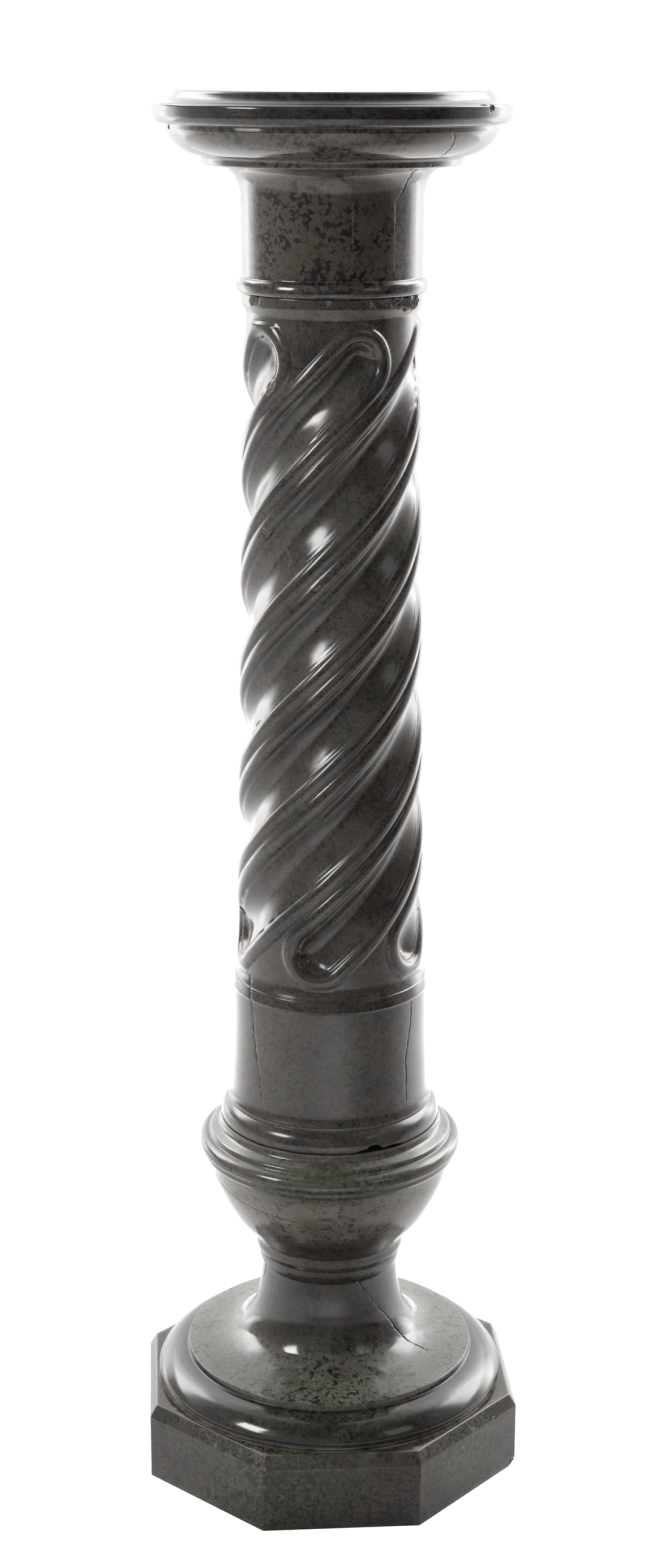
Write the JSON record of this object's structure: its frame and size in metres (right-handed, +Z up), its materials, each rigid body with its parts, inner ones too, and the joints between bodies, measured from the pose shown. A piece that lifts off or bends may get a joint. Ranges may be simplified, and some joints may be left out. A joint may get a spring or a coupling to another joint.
{
  "type": "spiral marble pedestal column",
  "caption": "Turned marble pedestal: octagonal plinth, torus foot, waisted neck, bowl-shaped cup, shaft carved with spiral looped beads, and a flared round capital that carries a bust or vase",
  "frame": {"origin": "centre of the plinth's underside, on the column's axis", "axes": "+Z up along the column; -Y is the flat side of the octagonal plinth that faces the viewer; +X is the viewer's right"},
  "size_m": [0.301, 0.301, 1.1],
  "materials": {
    "capital": "polished",
    "shaft": "polished",
    "cup": "polished",
    "foot": "polished",
    "plinth": "polished"
  },
  "bodies": {
    "root": {"capital": "capital", "shaft": "shaft", "cup": "cup", "foot": "foot", "plinth": "plinth"}
  },
  "joints": []
}
